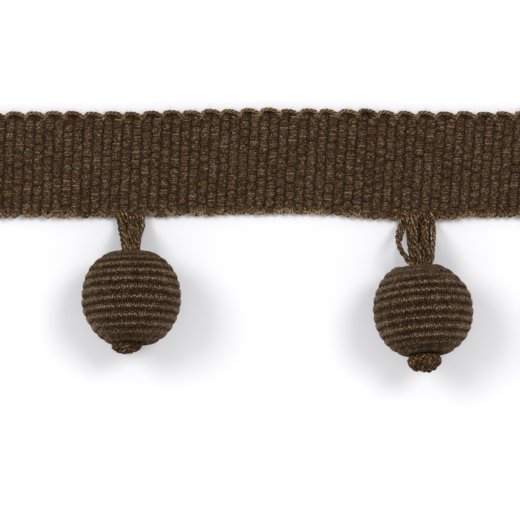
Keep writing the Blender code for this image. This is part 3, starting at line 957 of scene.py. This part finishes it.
def funnel_row(row, rim, share, end):
    """A row between the last turn and the bore's rim, at the tape's (1.0) or the knot's end."""
    radius, height, tone, thread = row
    inward = radius + (BORE_RADIUS - radius) * share
    down = height + (end * rim - height) * share ** 1.6
    # painted shade, darker down into the bore
    return inward, down, tone * (1.0 - 0.75 * share), thread


def ball_shapes(drop):
    """The wound ball, open where the stem's bore goes through it."""
    winding = Winding(drop["half_height"], **drop["winding"])
    angle, rows = winding.angle, winding.rows()
    points = np.concatenate([
        np.stack([radius * np.cos(angle), radius * np.sin(angle), height], axis=1)
        for radius, height, _, _ in rows])
    points = moved(points, drop_matrix(drop))
    points[:, 2] = np.maximum(points[:, 2], 0.0)
    lay = np.empty_like(points)
    spacing = BALL_RADIUS * RIDGE_SPAN / (RIDGE_COUNT * RIDGE_ROWS)
    lay[:, 0] = np.repeat(np.arange(len(rows)) * spacing, BALL_COLUMNS)
    lay[:, 1] = np.concatenate([row[3] for row in rows])
    lay[:, 2] = np.concatenate([row[2] for row in rows])
    return [(points, ring_faces(len(rows), BALL_COLUMNS, closed_rings=True), lay)]


# ---- stems
STEM_START_HEIGHT = 1.15  # where the yarns leave the tape's edge
STEM_POINTS = 44  # along the free stem
# Points before the free stem, inside the tape, and depths of those after it, in the ball
STEM_ROOT = ((0.0, 1.6, -0.60), (0.0, 1.1, -0.25), (0.0, 0.6, 0.0))
STEM_DEPTHS = (0.5, 1.0, 1.5, 2.0)
UNEVEN_PLIES = 0.22
STRAND_SHIFT = -0.18  # sideways, of the right drop's strands
# Routes of the strands inside the tape and into the ball, written as the CAD model's are
LOOSE_STRAND_ROOT = ((-3.25, -7.9, 1.1), (-3.40, -8.7, 1.55), (-3.55, -9.4, 1.45))
LOOSE_STRAND_END = ((-2.70, -16.75, 7.95), (-1.9, -17.3, 8.0))
INNER_YARN_ROUTE = ((-2.55, -7.9, 1.1), (-2.70, -8.7, 1.6), (-2.95, -9.6, 1.7),
                    (-3.35, -10.9, 2.2), (-3.80, -12.0, 3.4), (-4.05, -13.1, 4.5))
SIDE_STRAND_ROOT = ((1.55, -7.9, 1.1), (1.65, -8.7, 1.55), (1.78, -9.4, 1.45))
SIDE_STRAND_END = ((1.20, -17.1, 8.0),)
SIDE_STRAND_LEAN = 0.026  # sideways per millimetre down, counted from this Y
SIDE_STRAND_LEAN_Y = -11.4


def stem_path(drop):
    """Centre line of the bunch from inside the tape into the ball, and its free share."""
    matrix = drop_matrix(drop)
    axis = (matrix.to_3x3() @ Vector((0.0, 0.0, 1.0))).normalized()
    hole = matrix @ Vector((0.0, 0.0, rim_height(drop["half_height"])))
    exit_x = drop["stem_exit_x"]
    edge_y = float(centre_line(exit_x) - lower_edge(exit_x)) - 0.3
    start = Vector((exit_x, edge_y, STEM_START_HEIGHT))
    reach = (hole - start).length
    free = interpolate_bezier(start, start - Vector((0.0, 0.30 * reach, 0.0)),
                              hole + axis * 0.42 * reach, hole, STEM_POINTS)
    root = [start + Vector(offset) for offset in STEM_ROOT]
    inner = [hole - axis * depth for depth in STEM_DEPTHS]
    share = np.concatenate([np.zeros(len(root)), np.linspace(0.0, 1.0, STEM_POINTS),
                            np.ones(len(inner))])
    return np.array([*root, *free, *inner]), share


def bunch_frame(drop, reach):
    """Centre line, free share, sideways and outward ways, half width and half thickness.

    reach is how far the bunch reaches beyond its stated width, left and right.
    """
    centre, share = stem_path(drop)
    sections = np.array(STEM_SECTIONS[drop["side"]])
    half_width = np.interp(share, sections[:, 0], sections[:, 1]) + 0.5 * (reach[0] + reach[1])
    half_thick = np.interp(share, sections[:, 0], sections[:, 2])
    along = unit(np.gradient(centre, axis=0))
    across = unit(np.array([[1.0, 0.0, 0.0]]) - along * along[:, :1])
    centre = centre + across * 0.5 * (reach[1] - reach[0])
    outward = np.cross(across, along)
    outward = outward * np.sign(outward[:, 2:3] + 1e-6)
    return centre, share, across, outward, half_width, half_thick


def stem_strand(random, frame_parts, layer, strand, strands):
    """One plied yarn of the bunch, in its front (1.0) or back (-1.0) layer."""
    centre, share, across, outward, half_width, half_thick = frame_parts
    front = layer > 0
    root = np.clip(1.0 - np.arange(len(centre)) / 8.0, 0.0, 1.0)
    radius = random.uniform(0.40, 0.50) * (1.0 - 0.12 * share)
    side = -1.0 + 2.0 * (strand + 0.5) / strands
    drift = random.uniform(-0.24, 0.24) if front else 0.0
    u = np.clip(side + drift * np.sin(np.pi * share * random.uniform(0.8, 1.8)), -1.0, 1.0)
    v = layer * (0.55 + 0.30 * np.sin(np.pi * share + 2.4 * strand)) * np.sqrt(
        np.clip(1.0 - 0.6 * share * u ** 2, 0.1, 1.0))
    path = (centre + across * (u * (half_width - radius))[:, None]
            + outward * (v * np.maximum(half_thick - radius, 0.15))[:, None])
    path[:, 1] += root * random.uniform(-0.5, 0.5)
    path[:, 2] += 0.35 * layer * np.sin(np.pi * root)
    dense = resample(path, YARN_STEP)
    even = np.linspace(0.0, 1.0, len(dense))
    radius = np.interp(even, np.linspace(0.0, 1.0, len(path)), radius)
    # the back layer's darker tone is painted shade behind the front strands
    tone = random.uniform(0.30, 0.46) if front else random.uniform(0.14, 0.24)
    return yarn_shape(dense, radius, 3, random.uniform(4.6, 6.6), tone, 6,
                      random.uniform(0.0, TWIST_STARTS), UNEVEN_PLIES)


def stem_shapes(drop):
    """Plied yarns side by side, spread at the tape and bunched at the ball."""
    bunch = drop["bunch"]
    random = np.random.default_rng(bunch["seed"])
    parts = bunch_frame(drop, bunch["reach"])
    return [stem_strand(random, parts, layer, strand, strands)
            for layer, strands in ((1.0, bunch["front_strands"]), (-1.0, bunch["back_strands"]))
            for strand in range(strands)]


def strand_yarn(x, route, radius, pitch, tone, start):
    """One yarn of a parted strand, on a route whose X counts from x."""
    route = [(x + dx, y, z) for dx, y, z in route]
    return yarn_shape(smooth_route(route, YARN_STEP), radius, 3, pitch, tone, 7, start,
                      UNEVEN_PLIES)


def loose_strand_shapes(drop):
    """The strand that bows out, and the yarn that parts from it by the tape."""
    bow = [(dx + STRAND_SHIFT, y, z) for dx, y, z in LOOSE_STRAND_ROUTE]
    route = [*LOOSE_STRAND_ROOT, *bow, *LOOSE_STRAND_END]
    return [strand_yarn(drop["x"], route, 0.48, 4.6, 0.44, 0.6),
            strand_yarn(drop["x"], INNER_YARN_ROUTE, 0.36, 4.0, 0.42, 2.6)]


def side_strand_shapes(drop):
    """The strand that parts from the bunch by a narrow gap."""
    free = [(dx + SIDE_STRAND_LEAN * (y - SIDE_STRAND_LEAN_Y), y, z)
            for dx, y, z in SIDE_STRAND_ROUTE]
    route = [*SIDE_STRAND_ROOT, *free, *SIDE_STRAND_END]
    return [strand_yarn(drop["x"] + STRAND_SHIFT, route, 0.42, 4.4, 0.44, 2.0)]


# ---- knots
KNOT_WRAPS = 15
KNOT_OUTER_WRAPS = 10  # the others fill the knot's inside
KNOT_INNER_SIZE = 0.55
KNOT_UNEVEN_PLIES = 0.12


def knot_wrap(random, wrap):
    """One turn of yarn on a unit ball, tilted at random."""
    inner = wrap >= KNOT_OUTER_WRAPS
    angle = np.linspace(0.0, TAU, 97)
    tilt = random.uniform(-0.55, 0.55) + (1.2 if wrap % 3 == 2 else 0.0)
    turn = random.uniform(0.0, TAU)
    shift = 0.0 if inner else random.uniform(-0.62, 0.62)
    ring = np.stack([np.cos(angle), np.sin(angle), np.full_like(angle, shift)], axis=1)
    ring[:, :2] *= math.sqrt(1.0 - shift ** 2)
    ring[:, 2] += 0.10 * np.sin(3.0 * angle + turn)
    spin = np.array(Matrix.Rotation(turn, 3, "Z") @ Matrix.Rotation(tilt, 3, "X"))
    size = KNOT_INNER_SIZE if inner else 1.0
    return unit(ring @ spin.T) * size * random.uniform(0.93, 1.0)


def knot_shapes(drop):
    """The stem's yarns drawn tight into a lump, placed in the ball's axes.

    It widens towards the ball by the share taper, and its lower end lies slip to one side.
    """
    knot = drop["knot"]
    half, taper = np.array(knot["half"]), knot["taper"]
    random = np.random.default_rng(knot["seed"])
    shapes = []
    for wrap in range(KNOT_WRAPS):
        ring = knot_wrap(random, wrap)
        radius = random.uniform(0.40, 0.48)
        path = ring * (half - radius)
        level = path[:, 2] / half[2]
        path[:, 0] = path[:, 0] * (1.0 + taper * level) - knot["slip"] * 0.5 * (level - 1.0)
        path[:, 1] = path[:, 1] * (1.0 + 0.5 * taper * level)
        path = moved(path + np.array(knot["centre"]), drop_matrix(drop))
        shapes.append(yarn_shape(resample(path, YARN_STEP), radius, 2, random.uniform(1.6, 2.2),
                                 random.uniform(0.22, 0.38), 6, random.uniform(0.0, TWIST_STARTS),
                                 KNOT_UNEVEN_PLIES))
    return shapes


# ---- loose fibres
HAIR_POINTS, HAIR_SIDES = 3, 3
HAIR_TONE, HAIR_RADIUS = 0.475, 0.020
# Hairs on the tape's edges, its cut ends, and each drop's ball, stem and knot
UPPER_EDGE_HAIRS, LOWER_EDGE_HAIRS, EDGE_HAIR_LENGTH, EDGE_HAIR_TONE = 1900, 3600, 0.90, 0.75
CUT_END_HAIRS, CUT_END_HAIR_LENGTH, CUT_END_HAIR_RADIUS = 700, 0.55, 0.035
DROP_HAIRS, DROP_HAIR_LENGTH = (2500, 450, 300), 0.60


def hair_shape(roots, ways, seed, longest, tone=HAIR_TONE, radius=HAIR_RADIUS):
    """Short curved hairs that stand out at their roots, at most about longest in length."""
    random = np.random.default_rng(seed)
    count = len(roots)
    length = longest * random.uniform(0.25, 1.0, count) ** 1.5
    way = unit(unit(ways) + 0.9 * unit(random.normal(size=(count, 3))))
    curl = unit(np.cross(way, unit(random.normal(size=(count, 3)))))
    share = np.linspace(0.0, 1.0, HAIR_POINTS)
    swing = random.uniform(0.2, 0.9, count)
    paths = (roots[:, None] + way[:, None] * (share[None, :, None] * length[:, None, None])
             + curl[:, None] * (share[None, :, None] ** 2 * (swing * length)[:, None, None]))
    paths[:, :, 2] = np.maximum(paths[:, :, 2], 0.03)
    radii = np.full((count, HAIR_POINTS), radius) * (1.0 - 0.5 * share)
    tones = tone * random.uniform(0.5, 1.5, count)[:, None, None]
    return tube_shape(paths, tube_rings(paths, radii, HAIR_SIDES), tones)


def piece_hairs(piece, count, seed, longest, tone=HAIR_TONE):
    """Hairs out of random points on a piece."""
    mesh = piece.data
    points, normals = np.empty((2, len(mesh.vertices) * 3))
    mesh.vertices.foreach_get("co", points)
    mesh.vertices.foreach_get("normal", normals)
    pick = np.random.default_rng(seed).integers(0, len(mesh.vertices), count)
    roots = points.reshape(-1, 3)[pick] / MM
    return hair_shape(roots, normals.reshape(-1, 3)[pick], seed, longest, tone)


def cut_end_hairs(count, seed):
    """Hairs out of the tape's two cut ends."""
    random = np.random.default_rng(seed)
    end = np.where(random.random(count) < 0.5, -1.0, 1.0)
    px, py = tape_place(end * (TAPE_LENGTH / 2 - 0.05), random.uniform(-0.98, 0.98, count))
    roots = np.stack([px, py, random.uniform(0.15, 1.35, count)], axis=1)
    ways = np.stack([end, np.zeros(count), np.zeros(count)], axis=1)
    return hair_shape(roots, ways, seed, CUT_END_HAIR_LENGTH, radius=CUT_END_HAIR_RADIUS)


# ---- studio
FLOOR_SIZE = 2.0  # metres
FLOOR_HEIGHT = -0.02 * MM
SKY_STRENGTH = 0.66
# Lamps: name, the way their light goes, strength and softness in degrees
LAMPS = (
    ("lamp_right", (-0.43, -0.28, -0.858), 0.98, 20.0),
    ("lamp_left", (0.56, -0.29, -0.776), 1.05, 24.0),
)
VIEW_WIDTH = 90.43 * MM  # what the picture shows, at the floor
VIEW_CENTRE = (-2.96 * MM, -16.52 * MM)
CAMERA_HEIGHT = 1.2  # metres
SENSOR_WIDTH = 36.0


def build_floor():
    """Plain pale floor, just under the trim."""
    bpy.ops.mesh.primitive_plane_add(size=FLOOR_SIZE, location=(0.0, 0.0, FLOOR_HEIGHT))
    floor = bpy.context.object
    floor.name = "studio_floor"
    floor.data.materials.append(floor_material())


def build_lights():
    """Two soft lamps from beyond the tape, and an even white sky."""
    scene = bpy.context.scene
    for name, way, strength, softness in LAMPS:
        lamp = bpy.data.objects.new(name, bpy.data.lights.new(name, "SUN"))
        lamp.data.energy = strength
        lamp.data.angle = math.radians(softness)
        lamp.rotation_euler = Vector(way).to_track_quat("-Z", "Y").to_euler()
        scene.collection.objects.link(lamp)
    world = bpy.data.worlds.new("studio")
    world.use_nodes = True
    set_inputs(world.node_tree.nodes["Background"], Color=(1.0, 1.0, 1.0, 1.0),
               Strength=SKY_STRENGTH)
    scene.world = world


def build_camera():
    """Straight down on the trim, from far off, as wide as the photograph."""
    camera = bpy.data.objects.new("camera", bpy.data.cameras.new("camera"))
    camera.location = (*VIEW_CENTRE, CAMERA_HEIGHT)
    camera.data.sensor_width = SENSOR_WIDTH
    camera.data.lens = SENSOR_WIDTH * CAMERA_HEIGHT / VIEW_WIDTH
    camera.data.clip_start = 0.1
    camera.data.clip_end = 10.0
    bpy.context.scene.collection.objects.link(camera)
    bpy.context.scene.camera = camera


# ---- the trim
def build_tape(yarns):
    """The heading tape; its two looped edges are returned."""
    tape = make_piece("tape_weave", [tape_shape()], yarns["tape_yarn"],
                      ["heading_tape"])
    threads = make_piece("tape_bright_threads", bright_thread_shapes(), yarns["thread_yarn"])
    upper = make_piece("tape_upper_loops", upper_loop_shapes(), yarns["edge_yarn"])
    lower = make_piece("tape_lower_loops", lower_loop_shapes(), yarns["edge_yarn"])
    return upper, lower


def build_pair(piece, node, shapes, yarn):
    """The same piece of both drops, each in front of its CAD node."""
    return [make_piece(drop["side"] + piece, shapes(drop), yarn, [drop["side"] + node])
            for drop in DROPS]


def build_drops(yarns):
    """Both drops; their balls, stems and knots are returned."""
    stem_yarn = yarns["stem_yarn"]
    right = DROPS[1]
    balls = build_pair("_ball_winding", "_ball", ball_shapes, yarns["ball_yarn"])
    stems = build_pair("_stem_yarns", "_stem", stem_shapes, stem_yarn)
    make_piece("right_loose_yarn", loose_strand_shapes(right), stem_yarn,
               ["right_loose_strand"])
    make_piece("right_side_yarn", side_strand_shapes(right), stem_yarn,
               ["right_side_strand"])
    knots = build_pair("_knot_yarns", "_knot", knot_shapes, yarns["knot_yarn"])
    return balls, stems, knots


def build_hairs(yarns, upper, lower, drop_parts):
    """Loose fibres along the tape's edges and all over both drops."""
    hairs = [piece_hairs(upper, UPPER_EDGE_HAIRS, 61, EDGE_HAIR_LENGTH, EDGE_HAIR_TONE),
             piece_hairs(lower, LOWER_EDGE_HAIRS, 62, EDGE_HAIR_LENGTH, EDGE_HAIR_TONE),
             cut_end_hairs(CUT_END_HAIRS, 63)]
    make_piece("tape_fuzz", hairs, yarns["edge_yarn"])
    for drop, *parts in zip(DROPS, *drop_parts):
        hairs = [piece_hairs(part, count, drop["hair_seed"], DROP_HAIR_LENGTH)
                 for part, count in zip(parts, DROP_HAIRS)]
        make_piece(drop["side"] + "_drop_fuzz", hairs, yarns["stem_yarn"])


def build_trim():
    """Every visible piece."""
    yarns = {name: yarn_material(name, **look) for name, look in YARN_LOOKS.items()}
    upper, lower = build_tape(yarns)
    build_hairs(yarns, upper, lower, build_drops(yarns))


bpy.context.scene.view_settings.view_transform = "Standard"
build_floor()
build_lights()
build_camera()
build_trim()
